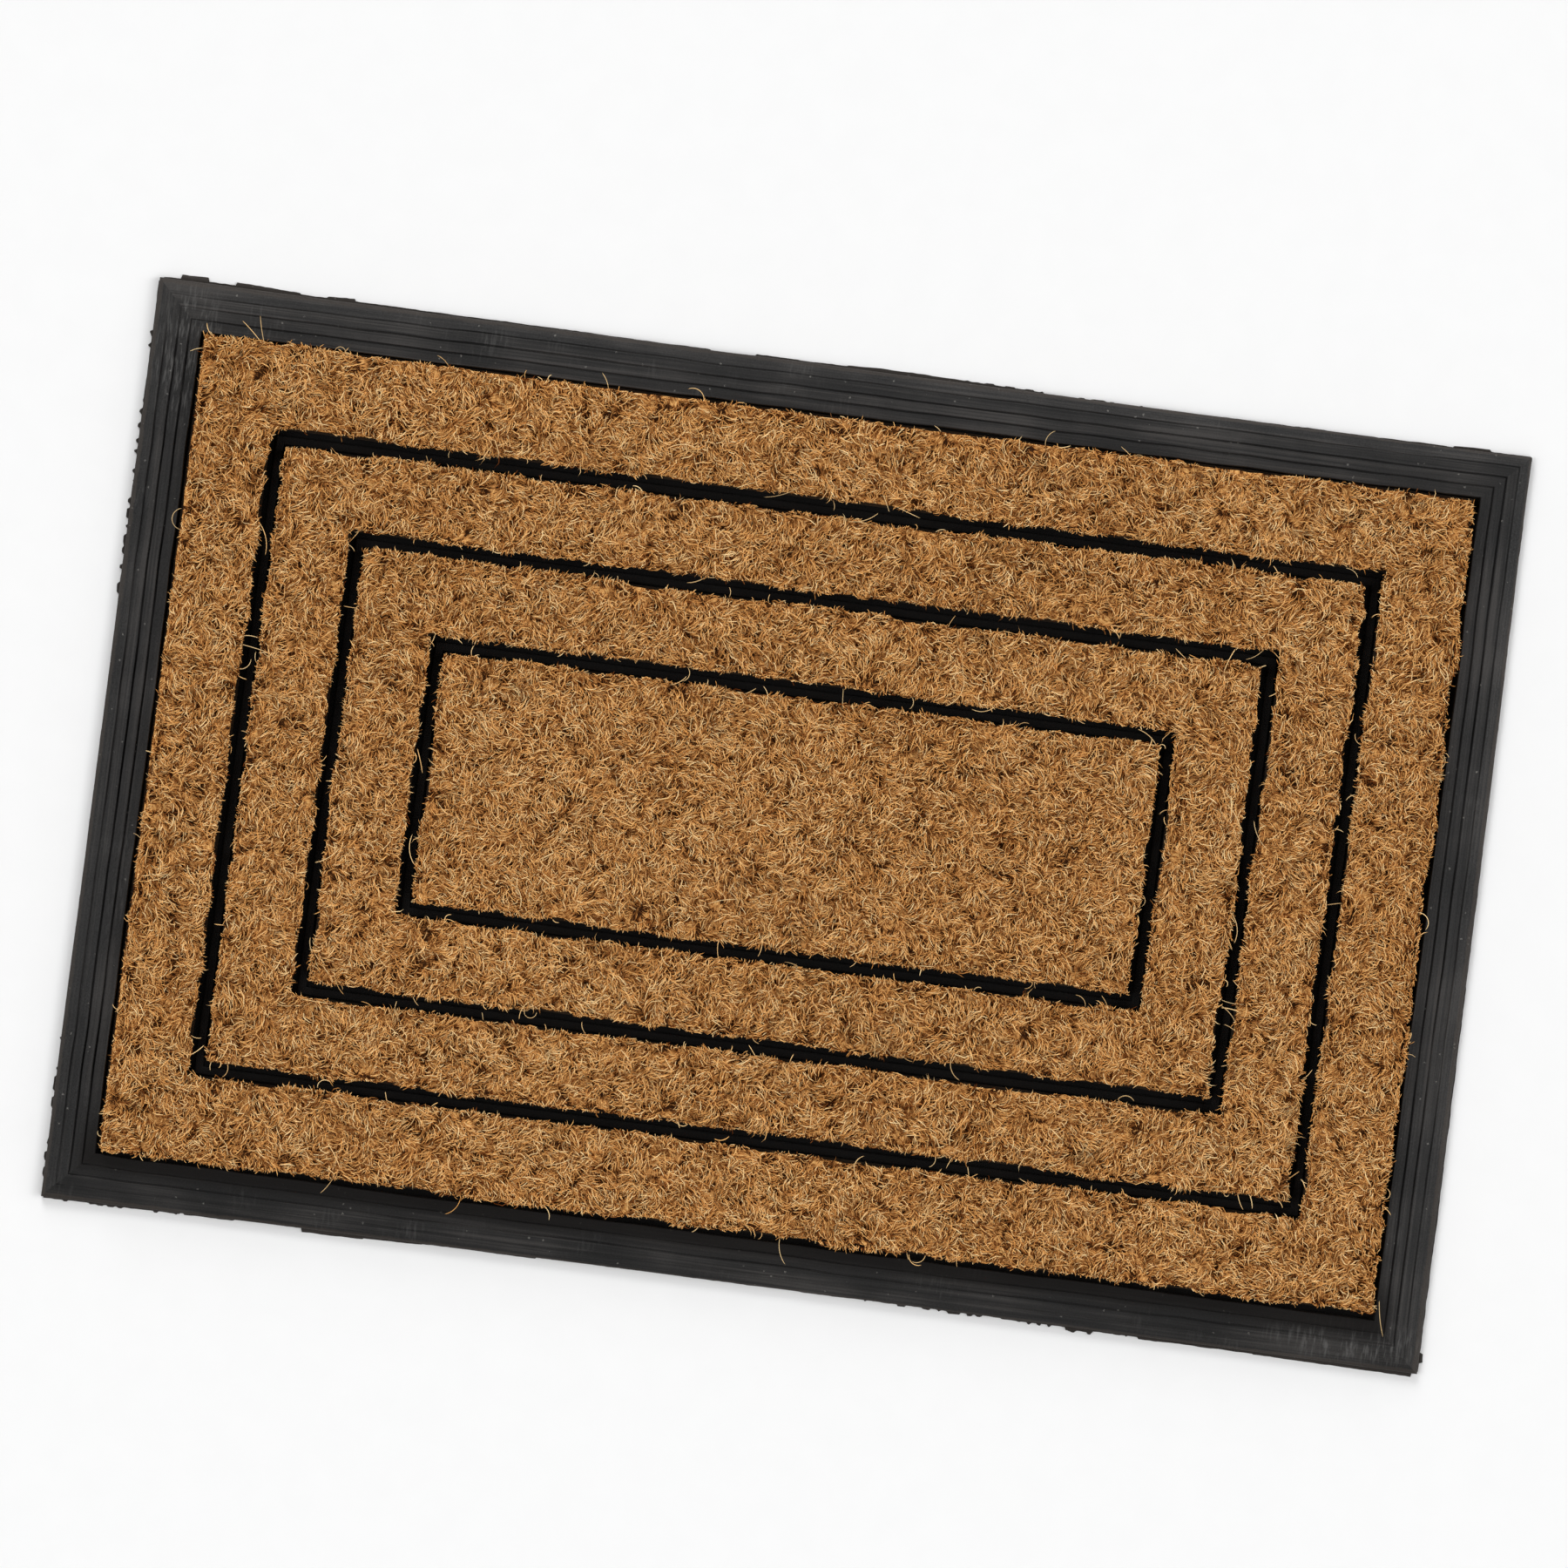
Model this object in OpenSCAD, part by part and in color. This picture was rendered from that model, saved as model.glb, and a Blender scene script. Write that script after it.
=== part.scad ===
// Door mat: a moulded rubber tray that holds coir brush inserts.
// The tray has a stepped, bevelled border and low ribs that divide its floor into
// concentric rectangular pockets. Each pocket holds one insert, which is a woven
// backing with a cut coir pile standing on it.
// The mat lies on the XY plane, centred on the origin, with its long side along X.

/* [Mat] */
// Length of the rubber tray, along X
mat_length = 600; // [520:10:900]
// Width of the rubber tray, along Y
mat_width = 400; // [380:10:600]
// Height of the pile's tips above the floor
mat_height = 14; // [12:0.5:20]

/* [Rubber tray] */
// Thickness of the sheet under the inserts
base_t = 3; // [2:0.5:4]
// Height of the tray's outer edge
edge_h = 3; // [2:0.5:4]
// Width of the border, from the outer edge to the pocket
border_w = 20; // [16:1:30]
// Height of the border where it meets the pile
lip_h = 7.6; // [6.5:0.1:9]
// Number of flat lands across the border
land_count = 4; // [3:1:5]
// Width of the narrow grooves between the lands
groove_w = 0.8; // [0.6:0.1:1.2]
// Depth of the grooves below the land outside them
groove_d = 0.9; // [0.5:0.1:1.2]

/* [Divider ribs] */
// Distance between the centre lines of neighbouring ribs
rib_pitch = 40; // [36:1:44]
// Distance from the pocket's end wall to the first rib's centre line
first_rib_x = 40; // [36:1:50]
// Distance from the pocket's side wall to the first rib's centre line
first_rib_y = 42; // [36:1:50]
// Width of a rib
rib_w = 3.4; // [2.5:0.1:4.5]
// Height of a rib's top above the floor
rib_h = 5.4; // [4.5:0.1:7]

/* [Coir inserts] */
// Thickness of the woven backing
backing_t = 2.4; // [1.5:0.1:3]
// Gap between an insert and the rubber beside it
insert_gap = 1.5; // [1:0.1:2]

/* [Hidden] */

// Three ribs part the tray's floor into three bands and a centre panel
rib_count = 3;
// Half the size of the pocket inside the border
pocket = [mat_length / 2 - border_w, mat_width / 2 - border_w];
land_w = border_w / land_count;
// The outermost land is the steepest: it rises this much of the way to the lip
first_land_share = 0.4;
// The outermost groove is shallower than the others by this factor
first_groove_share = 0.5;
pile_bottom = base_t + backing_t;
cut = 1;
RUBBER = [0.13, 0.13, 0.135];
BACKING = [0.42, 0.30, 0.17];
COIR = [0.72, 0.50, 0.27];

// Half the size of the rectangle that the centre line of rib i follows, from the outside in.
function rib_line(i) = [
    pocket.x - first_rib_x - i * rib_pitch,
    pocket.y - first_rib_y - i * rib_pitch
];

// Half the outer size of insert i: 0 lies beside the border, the last is the centre panel.
function insert_outer(i) = i == 0
    ? [for (v = pocket) v - insert_gap]
    : [for (v = rib_line(i - 1)) v - rib_w / 2 - insert_gap];

// Half the size of the hole in insert i, which surrounds the next rib.
function insert_inner(i) = [for (v = rib_line(i)) v + rib_w / 2 + insert_gap];

// Height of the border at distance d from the tray's outer edge.
function border_z(d) = d <= land_w
    ? edge_h + (lip_h - edge_h) * first_land_share * d / land_w
    : edge_h + (lip_h - edge_h)
        * (first_land_share + (1 - first_land_share) * (d - land_w) / (border_w - land_w));

// A block centred on the Z axis, from its half size, its lowest height and its top.
module block(half, low, high) {
    translate([-half.x, -half.y, low])
        cube([2 * half.x, 2 * half.y, high - low]);
}

// A rectangular ring between two concentric rectangles, given as half sizes.
module ring(outer, inner, low, high) {
    difference() {
        block(outer, low, high);
        block(inner, low - cut, high + cut);
    }
}

// The mat's cross-section over a half width, with a bevelled border on both sides.
module bevel_profile(half) {
    polygon([
        [-half, 0],
        [-half, edge_h],
        [-half + land_w, border_z(land_w)],
        [-half + border_w, lip_h],
        [half - border_w, lip_h],
        [half - land_w, border_z(land_w)],
        [half, edge_h],
        [half, 0]
    ]);
}

// A slab with the border's bevel on all four sides, mitred at the corners.
module bevelled_slab() {
    intersection() {
        rotate([90, 0, 0])
            linear_extrude(mat_width, center = true)
                bevel_profile(mat_length / 2);
        rotate([90, 0, 90])
            linear_extrude(mat_length, center = true)
                bevel_profile(mat_width / 2);
    }
}

// A groove at distance d from the outer edge, all the way round the border.
module border_groove(d, depth) {
    outer = [mat_length / 2 - d + groove_w / 2, mat_width / 2 - d + groove_w / 2];
    inner = [outer.x - groove_w, outer.y - groove_w];
    ring(outer, inner, border_z(d) - depth, mat_height);
}

module rubber_tray() {
    color(RUBBER) {
        difference() {
            bevelled_slab();
            block(pocket, base_t, mat_height);
            for (i = [1 : land_count - 1])
                border_groove(i * land_w, i == 1 ? groove_d * first_groove_share : groove_d);
        }
        for (i = [0 : rib_count - 1]) {
            line = rib_line(i);
            ring([for (v = line) v + rib_w / 2], [for (v = line) v - rib_w / 2], base_t - cut, rib_h);
        }
    }
}

// One layer of insert i: a band round the next rib, or the whole centre panel.
module insert_layer(i, low, high) {
    if (i < rib_count)
        ring(insert_outer(i), insert_inner(i), low, high);
    else
        block(insert_outer(i), low, high);
}

module backing(i) {
    color(BACKING)
        insert_layer(i, base_t, pile_bottom);
}

module pile(i) {
    color(COIR)
        insert_layer(i, pile_bottom, mat_height);
}

module outer_band_backing() { backing(0); }
module middle_band_backing() { backing(1); }
module inner_band_backing() { backing(2); }
module centre_panel_backing() { backing(rib_count); }
module outer_band_pile() { pile(0); }
module middle_band_pile() { pile(1); }
module inner_band_pile() { pile(2); }
module centre_panel_pile() { pile(rib_count); }

rubber_tray();
outer_band_backing();
middle_band_backing();
inner_band_backing();
centre_panel_backing();
outer_band_pile();
middle_band_pile();
inner_band_pile();
centre_panel_pile();
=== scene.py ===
"""Looks of a coir and rubber door mat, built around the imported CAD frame.

The tray is one lofted rubber moulding with a ragged rim of flash. Each insert is a woven backing, a
core of packed coir, and thousands of cut fibres that stand in tufts and lean over each other.
Shapes are worked out in millimetres, in the CAD frame, and scaled to metres when a mesh is made.
"""

import math

import bpy
import numpy as np
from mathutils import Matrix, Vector


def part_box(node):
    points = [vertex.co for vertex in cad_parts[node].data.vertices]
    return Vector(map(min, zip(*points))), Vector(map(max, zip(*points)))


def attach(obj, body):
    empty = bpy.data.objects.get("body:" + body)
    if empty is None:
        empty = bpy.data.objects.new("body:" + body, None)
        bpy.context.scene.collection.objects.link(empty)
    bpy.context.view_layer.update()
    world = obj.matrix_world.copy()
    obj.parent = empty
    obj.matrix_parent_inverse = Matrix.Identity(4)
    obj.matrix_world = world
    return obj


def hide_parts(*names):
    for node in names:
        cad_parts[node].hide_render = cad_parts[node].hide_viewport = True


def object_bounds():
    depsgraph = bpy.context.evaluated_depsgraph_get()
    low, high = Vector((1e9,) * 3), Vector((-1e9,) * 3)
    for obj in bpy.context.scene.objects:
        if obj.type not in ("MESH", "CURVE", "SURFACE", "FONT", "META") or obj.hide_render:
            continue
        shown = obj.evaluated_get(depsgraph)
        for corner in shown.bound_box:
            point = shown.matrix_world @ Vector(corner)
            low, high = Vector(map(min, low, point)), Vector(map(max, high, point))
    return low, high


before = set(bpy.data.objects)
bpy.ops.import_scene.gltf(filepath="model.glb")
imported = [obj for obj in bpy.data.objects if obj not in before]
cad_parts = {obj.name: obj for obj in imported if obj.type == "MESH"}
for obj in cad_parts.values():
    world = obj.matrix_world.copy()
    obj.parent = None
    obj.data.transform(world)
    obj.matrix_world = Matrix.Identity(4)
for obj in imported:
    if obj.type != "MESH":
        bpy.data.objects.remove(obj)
cad_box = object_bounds()

MM = 0.001
UP = np.array([0.0, 0.0, 1.0])
TRAY_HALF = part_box("rubber_tray")[1].xy / MM

# The camera looks straight down, turned a little against the mat.
VIEW_TURN = math.radians(7.4)
VIEW_WIDTH = 681.8
VIEW_LENS = 240.0
VIEW_CENTRE = (-3.8, 17.9)
FLOOR_SIDE = 12000.0

# Studio lights: name, azimuth and elevation in degrees, power. Each fills that angle of the sky.
WINDOW_WIDTH = math.radians(32)
WINDOWS = [("back_window", 8, 26, 1.65), ("right_window", 272, 29, 1.25), ("left_window", 90, 50, 0.95),
           ("front_window", 222, 48, 0.70)]

# Tray: the border's lands and grooves, the ribs, and into how many steps each long and short side is cut.
BORDER_W = 20.0
LANDS = 4
LAND_W = BORDER_W / LANDS
EDGE_H = 3.0
FIRST_LAND_SHARE = 0.4
GROOVE_W = 0.8
GROOVE_D = 0.9
FIRST_GROOVE_SHARE = 0.5
LIP_RISE = 0.2
# How deep the grooves came out of the mould on each side.
GROOVE_SHARE = {"back": 0.8, "front": 0.6, "left": 1.5, "right": 1.0}
# The wear at each corner: how far in from both sides its middle lies, and how far it reaches.
WORN_INSET = 10
WORN_REACH = 20
BASE_T = 3.0
RIB_H = 5.4
# Half the section of a rib, as (distance from its centre line, height), from its outer foot to its top.
RIB_SECTION = [(2.6, BASE_T), (1.85, BASE_T), (1.7, BASE_T + 0.3), (1.7, RIB_H - 0.5), (1.5, RIB_H - 0.15),
               (1.1, RIB_H)]
LONG_STEPS = 150
SHORT_STEPS = 100

# Coir: tufts stand in rows along the short side, and one sheet was cut into all four inserts. Each tuft
# falls apart into two locks, and the fibres of a lock lean much the same way.
ROW_PITCH = 8.0
TUFT_PITCH = 7.6
HALF_ROWS = 72
HALF_TUFTS = 25
LOCK_SPREAD = 2.0
FIBRES_PER_LOCK = 37
EDGE_FIBRES_PER_MM = 4.6
# The brush stands a little inside the CAD pile's faces. Its tips end this far out from it, and a random
# length more.
BORDER_SETBACK = 0.8
CHANNEL_SETBACK = 0.4
OVERHANG = -0.4
FUZZ = 0.4
# The brush of the inner inserts sits a little to the left and back of the tray's middle, and the outer
# band's outer edge a little to the right and back.
INNER_SHIFT = (-0.8, 1.0)
OUTER_SHIFT = (0.5, 0.5)
# Where the pile spills out over the border.
SPILL = (-262, 174)
SPILL_REACH = 24.0
SPILL_LENGTH = 1.8
FIBRES_PER_PIECE = 9000
YARN = 2.5
CLOTH_TOP = 5.4
CORE_CELL = 1.6
CORE_MARGIN = 1.5
CORE_TOP = 11.6
PILE_TOP = 13.3
# One fibre: where its points lie between root and tip, its least and greatest radius, how that tapers at
# the points between the ends, and how its tint changes from root to tip: the root is painted darker as
# shade deep in the pile, and the tip is paler, as sun-bleached coir is.
FIBRE_SHARES = (0.0, 0.3, 0.6, 0.88, 1.0)
FIBRE_RADIUS = (0.145, 0.25)
FIBRE_TAPER = (1.0, 0.95, 0.7)
FIBRE_SHADE_AND_TINT = (-0.4, -0.14, 0.0, 0.1, 0.14)
# Shares of the fibres that lean off on their own, lie on top, stand upright beside a cut face, may stick
# further out of it, and have gone grey.
WILD = 0.16
ON_TOP = 0.2
UPRIGHT = 0.5
STICKING_OUT = 0.05
GREYED = 0.03

# Rubber that squeezed out under the mould's edge: for each side, stretches along it as (from, to, width at
# the start, width at the end). Back and front run along X, left and right along Y.
FLASH = {
    "back": [(-300, -292, 1.9, 1.9), (-292, -280, 3.8, 4.0), (-280, -268, 2.3, 2.2),
             (-268, -240, 3.6, 2.5), (-240, -228, 2.0, 2.0), (-228, -216, 2.5, 3.0),
             (-216, -60, 2.0, 1.3), (-60, -40, 0.9, 0.9), (-40, 0, 1.6, 1.6), (0, 18, 1.9, 2.5),
             (18, 86, 2.5, 1.2), (86, 266, 0.6, 0.7), (266, 282, 1.3, 1.5), (282, 300, 0.8, 0.8)],
    "front": [(-300, -240, 1.9, 1.3), (-240, -187, 0.9, 0.5), (-187, -160, 2.3, 2.2),
              (-160, -134, 1.8, 1.0), (-134, -84, 0.8, 0.6), (-84, 120, 0.1, 0.2), (120, 148, 0.5, 0.6),
              (148, 160, 1.8, 1.4), (160, 180, 0.8, 0.8), (180, 230, 1.5, 1.6), (230, 300, 1.9, 2.6)],
    "left": [(-200, 60, 1.1, 1.1), (60, 200, 1.4, 1.5)],
    "right": [(-200, -196, 2.4, 2.4), (-196, -192, 3.8, 3.6), (-192, -110, 2.3, 2.3),
              (-110, 200, 2.2, 0.2)],
}
FLASH_TOP = 0.7
FLASH_STEP = 0.6
# Where the flash tore off in small teeth, as (side, from, to, how far the teeth stand out).
TORN = [("left", 62, 178, 1.1), ("left", -195, -128, 0.9), ("front", -295, -215, 0.6),
        ("front", 60, 175, 0.9), ("back", 40, 130, 0.4)]

# Long loose fibres that a person would notice, as (x, y, heading in degrees, length, how far it turns
# along its length in radians, height).
STRAYS = [(-251, 176, 131, 15, 0.2, 13), (-251, 176, 112, 14, -0.2, 13), (-221, 178, 100, 11, -4.7, 12.5),
          (-277, 103, 185, 15, 3.2, 12), (-248, 50, 30, 10, -0.8, 13), (-248, 48, -6, 14, -0.1, 13),
          (-240, 86, 78, 16, 1.0, 13), (60, 60, 20, 18, 1.6, 14), (-70, -92, 160, 15, -1.2, 13),
          (143, 132, -60, 14, 1.5, 13), (241, -34, -62, 13, 0.3, 13), (20, -176, -100, 13, 0.9, 12.5),
          (-120, -176, -80, 12, -1.4, 12.5), (196, 20, 100, 17, 0.8, 13), (-30, 140, 5, 20, 0.7, 13),
          (195, -50, -20, 11, 0.5, 13), (196, -54, 8, 9, -0.5, 13), (204, -60, 120, 10, 0.6, 13),
          (138, -62, 80, 8, 1.8, 13), (157, -100, 70, 9, -2.2, 13), (214, -132, -80, 8, 0.5, 13),
          (218, -131, -50, 8, -0.6, 13), (281, -170, -86, 16, 0.3, 12.5),
          (146, -172, 165, 11, 0.5, 13.6), (147, -170, 150, 12, 0.3, 13.6),
          (146, -168, 140, 11, -0.3, 13.6), (148, -173, 178, 10, 0.4, 13.6), (-60, 176, 70, 12, 2.4, 12.5),
          (90, 177, 110, 9, -1.5, 12.5), (276, 60, 20, 9, 2.0, 12.5)]
# Others lie anywhere on the mat, and short hairs stick out of the cut faces.
LOOSE_FIBRES = 130
HAIRS_PER_MM = 0.022
# Chips of husk in the pile, as (x, y, heading in degrees, length).
CHIPS = [(-248, 110, 40, 3.2), (110, 9, 170, 4.5), (-52, 160, 20, 2.2), (150, -150, 100, 2.4),
         (-120, -68, 60, 2.0), (30, 104, 140, 2.2), (262, 92, 75, 2.4), (-262, -120, 10, 2.0)]
CHIP_TOP = 13.5

INSERTS = ["outer_band", "middle_band", "inner_band", "centre_panel"]


# ---- helpers

def value_noise(rng, cell):
    """A smooth random field over the mat: a function of x and y in -1 to 1, with lumps of size cell."""
    reach = 330.0
    count = int(2 * reach / cell) + 4
    grid = rng.uniform(-1, 1, (count, count))

    def field(x, y):
        u = (np.asarray(x, float) + reach) / cell
        v = (np.asarray(y, float) + reach) / cell
        i = np.clip(np.floor(u).astype(int), 0, count - 2)
        j = np.clip(np.floor(v).astype(int), 0, count - 2)
        a = np.clip(u - i, 0, 1)
        b = np.clip(v - j, 0, 1)
        a = a * a * (3 - 2 * a)
        b = b * b * (3 - 2 * b)
        low = grid[i, j] * (1 - a) + grid[i + 1, j] * a
        high = grid[i, j + 1] * (1 - a) + grid[i + 1, j + 1] * a
        return low * (1 - b) + high * b

    return field


def unit(vectors):
    """Each vector at length 1."""
    return vectors / np.maximum(np.linalg.norm(vectors, axis=-1, keepdims=True), 1e-9)


def mesh_object(name, vertices, faces, material, sharp_angle=None, values=None):
    """A mesh object from arrays in millimetres. faces is a list of arrays, each of faces with equally
    many corners. values are named numbers at the vertices, for the material to read."""
    mesh = bpy.data.meshes.new(name)
    corners = np.concatenate([f.reshape(-1) for f in faces]).astype(np.int32)
    sizes = np.concatenate([np.full(len(f), f.shape[1]) for f in faces])
    starts = np.concatenate([[0], np.cumsum(sizes)[:-1]]).astype(np.int32)
    mesh.vertices.add(len(vertices))
    mesh.vertices.foreach_set("co", (np.asarray(vertices) * MM).astype(np.float32).reshape(-1))
    mesh.loops.add(len(corners))
    mesh.loops.foreach_set("vertex_index", corners)
    mesh.polygons.add(len(sizes))
    mesh.polygons.foreach_set("loop_start", starts)
    mesh.update(calc_edges=True)
    mesh.validate()
    mesh.shade_smooth()
    if sharp_angle is not None:
        mesh.set_sharp_from_angle(angle=math.radians(sharp_angle))
    for key, numbers in (values or {}).items():
        attribute = mesh.attributes.new(key, "FLOAT", "POINT")
        attribute.data.foreach_set("value", numbers.astype(np.float32))
    mesh.materials.append(material)
    piece = bpy.data.objects.new(name, mesh)
    bpy.context.scene.collection.objects.link(piece)
    return piece


def add_piece(piece, slot, *nodes):
    """Sets a finished piece on the mat's one body, in place of the CAD nodes named."""
    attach(piece, "root")
    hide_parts(*nodes)
    return piece


def half_sizes(node):
    """Half the outer size of a CAD band and half the size of its hole, in millimetres. The two are the same
    for a node that has no hole."""
    points = np.array([v.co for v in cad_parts[node].data.vertices]) / MM
    extent = abs(points[:, :2])
    return extent.max(0), extent.min(0)


def has_hole(outer, hole):
    """Whether two half sizes are those of a band."""
    return bool((hole < outer - 0.01).all())


# ---- materials

class Nodes:
    """The node tree of a material or world with short calls. An argument may be a number, a vector or a
    socket."""

    def __init__(self, owner):
        owner.use_nodes = True
        self.owner = owner
        self.tree = owner.node_tree

    def feed(self, socket, value):
        if isinstance(value, bpy.types.NodeSocket):
            self.tree.links.new(value, socket)
        else:
            socket.default_value = value

    def add(self, kind, **inputs):
        """A new node with the named inputs fed."""
        node = self.tree.nodes.new("ShaderNode" + kind)
        for name, value in inputs.items():
            self.feed(node.inputs[name], value)
        return node

    def operate(self, kind, operation, values):
        node = self.add(kind)
        node.operation = operation
        for socket, value in zip(node.inputs, values):
            self.feed(socket, value)
        return node.outputs[0]

    def math(self, operation, a, b=0.0):
        return self.operate("Math", operation, (a, b))

    def vector_math(self, operation, *vectors):
        return self.operate("VectorMath", operation, vectors)

    def place(self):
        return self.add("TexCoord").outputs["Object"]

    def attribute(self, name):
        node = self.add("Attribute")
        node.attribute_name = name
        return node.outputs["Fac"]

    def stretch(self, vector, scale):
        return self.add("Mapping", Vector=vector, Scale=scale).outputs["Vector"]

    def split(self, vector):
        node = self.add("SeparateXYZ", Vector=vector)
        return node.outputs["X"], node.outputs["Y"], node.outputs["Z"]

    def noise(self, vector, scale, detail):
        return self.add("TexNoise", Vector=vector, Scale=scale, Detail=detail).outputs["Fac"]

    def cells(self, vector, scale):
        """Random cells: the distance to the nearest cell's middle, its random number and its middle."""
        node = self.add("TexVoronoi", Vector=vector, Scale=scale)
        return node.outputs["Distance"], self.split(node.outputs["Color"])[0], node.outputs["Position"]

    def warp(self, vector, scale, amount):
        """The place moved about by noise, so that what is drawn there curves."""
        push = self.add("TexNoise", Vector=vector, Scale=scale).outputs["Color"]
        return self.vector_math("MULTIPLY_ADD", push, (amount, amount, 0), vector)

    def turn(self, vector, share):
        """The place turned about Z by that share of a full turn."""
        node = self.add("VectorRotate", Vector=vector, Angle=self.math("MULTIPLY", share, 2 * math.pi))
        node.rotation_type = "Z_AXIS"
        return node.outputs["Vector"]

    def span(self, value, low, high, new_low=0.0, new_high=1.0):
        """value from low..high carried over to new_low..new_high, and held there outside it."""
        ends = {"From Min": low, "From Max": high, "To Min": new_low, "To Max": new_high}
        return self.add("MapRange", Value=value, **ends).outputs["Result"]

    def ramp(self, value, stops):
        node = self.add("ValToRGB", Fac=value)
        elements = node.color_ramp.elements
        while len(elements) < len(stops):
            elements.new(0.5)
        for element, (position, colour) in zip(elements, stops):
            element.position = position
            element.color = (*colour, 1.0)
        return node.outputs["Color"]

    def mix(self, kind, data_type, factor, a, b):
        node = self.add("Mix", Factor=factor)
        node.data_type = data_type
        sides = [s for s in node.inputs if s.type == kind and s.name != "Factor"]
        self.feed(sides[0], a)
        self.feed(sides[1], b)
        return next(s for s in node.outputs if s.type == kind)

    def blend(self, factor, under, colour):
        """The colour given, laid over another one as far as factor says."""
        return self.mix("RGBA", "RGBA", factor, under, (*colour, 1.0))

    def choose(self, factor, a, b):
        return self.mix("VALUE", "FLOAT", factor, a, b)

    def spot(self, x, y, middle, radii):
        """1 in the middle of an ellipse on the mat, falling softly to 0 at its edge."""
        across = self.math("DIVIDE", self.math("SUBTRACT", x, middle[0]), radii[0])
        along = self.math("DIVIDE", self.math("SUBTRACT", y, middle[1]), radii[1])
        across = self.math("MULTIPLY", across, across)
        along = self.math("MULTIPLY", along, along)
        return self.span(self.math("ADD", across, along), 0.1, 1.0, 1.0, 0.0)

    def relief(self, height, depth):
        """Bump of that depth in metres."""
        node = self.add("Bump", Strength=1.0, Distance=depth, Height=height)
        self.feed(self.tree.nodes["Principled BSDF"].inputs["Normal"], node.outputs["Normal"])

    def surface(self, colour, roughness, specular):
        shader = self.tree.nodes["Principled BSDF"]
        self.feed(shader.inputs["Base Color"], colour)
        self.feed(shader.inputs["Roughness"], roughness)
        shader.inputs["Specular IOR Level"].default_value = specular
        return self.owner


def new_material(name):
    return Nodes(bpy.data.materials.new(name))


def drag_lines(n, place, on_end):
    """Fine lines that the mould drew along each side."""
    def lines(fine, coarse):
        return n.math("ADD", n.noise(n.stretch(place, fine), 1.0, 4.0),
                      n.noise(n.stretch(place, coarse), 1.0, 2.0))

    along_x = lines((12, 1300, 300), (9, 380, 90))
    along_y = lines((1300, 12, 300), (380, 9, 90))
    return n.math("MULTIPLY", n.choose(on_end, along_x, along_y), 0.5)


def scuff_marks(n, place, x, y):
    """Pale scuffs, most of them at the back left and front right corners."""
    scuffs = n.span(n.noise(n.stretch(place, (900, 130, 300)), 1.0, 6.0), 0.50, 0.68, 0.0, 0.75)
    worn = n.math("MAXIMUM", n.spot(x, y, (-0.285, 0.170), (0.018, 0.036)),
                  n.spot(x, y, (0.270, -0.190), (0.040, 0.012)))
    worn = n.math("MAXIMUM", worn, n.span(n.noise(place, 34.0, 2.0), 0.60, 0.72, 0.0, 0.35))
    return n.math("MULTIPLY", scuffs, worn)


def dust_specks(n, place):
    """Ragged pale specks, far apart."""
    distance, luck, _ = n.cells(place, 330.0)
    ragged = n.math("ADD", distance, n.math("MULTIPLY", n.noise(place, 2500.0, 2.0), 0.5))
    speck = n.math("MULTIPLY", n.math("LESS_THAN", ragged, 0.38), n.math("GREATER_THAN", luck, 0.88))
    return n.math("MULTIPLY", speck, 0.5)


def rubber_material():
    """Moulded charcoal rubber: drag lines along each side, dust, scuffed corners and a paler brown line
    along the outer edge. Beside the pile it is painted darker as the pile's shadow, most of all along the
    front, and down in the channels painted near black as their shade. Both places are matte."""
    n = new_material("black_rubber")
    place = n.place()
    x, y, z = n.split(place)
    half = cad_box[1]
    from_end = n.math("SUBTRACT", half[0], n.math("ABSOLUTE", x))
    from_side = n.math("SUBTRACT", half[1], n.math("ABSOLUTE", y))
    inset = n.math("MINIMUM", from_end, from_side)
    drag = drag_lines(n, place, n.math("LESS_THAN", from_end, from_side))
    cloud = n.noise(place, 22.0, 5.0)
    grain = n.noise(place, 1500.0, 3.0)

    tone = n.math("ADD", n.math("MULTIPLY", drag, 0.6), n.math("MULTIPLY", cloud, 0.4))
    colour = n.ramp(tone, [(0.42, (0.0024, 0.0021, 0.0020)), (0.5, (0.0108, 0.0098, 0.0093)),
                           (0.59, (0.0330, 0.0300, 0.0280))])
    colour = n.blend(scuff_marks(n, place, x, y), colour, (0.100, 0.097, 0.093))
    colour = n.blend(dust_specks(n, place), colour, (0.22, 0.21, 0.19))
    # A paler brown line along the outer edge.
    rim_edge = n.math("ADD", inset, n.math("MULTIPLY", n.noise(place, 160.0, 4.0), -0.0016))
    rim = n.span(rim_edge, -0.0006, 0.0002, 1.0, 0.0)
    colour = n.blend(n.math("MULTIPLY", rim, 0.5), colour, (0.040, 0.030, 0.023))

    # Painted shadow: the inner lands beside the pile are painted darker, most of all along the front, where
    # the pile shades them from the back light.
    beside_pile = n.span(n.math("ADD", inset, n.math("MULTIPLY", cloud, 0.006)), 0.012, 0.019)
    along_front = n.span(y, -0.180, -0.160, 0.9, 0.18)
    painted_pile_shadow = n.math("MULTIPLY", beside_pile, along_front)
    colour = n.blend(painted_pile_shadow, colour, (0.0020, 0.0009, 0.0004))
    # Painted shade: everything down in the channels, below the pile, is painted near black.
    painted_channel_shade = n.math("MULTIPLY", n.math("GREATER_THAN", inset, BORDER_W * MM + 0.0001),
                     n.span(z, 0.0058, 0.0066, 1.0, 0.0))
    colour = n.blend(painted_channel_shade, colour, (0.0010, 0.0006, 0.0004))

    roughness = n.span(n.math("ADD", grain, n.math("MULTIPLY", drag, 0.6)), 0.5, 1.1, 0.44, 0.84)
    roughness = n.choose(n.math("MAXIMUM", painted_channel_shade, painted_pile_shadow), roughness, 0.95)
    n.relief(n.math("ADD", n.math("MULTIPLY", drag, 0.7), n.math("MULTIPLY", grain, 0.3)), 0.00024)
    return n.surface(colour, roughness, 0.35)


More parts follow.
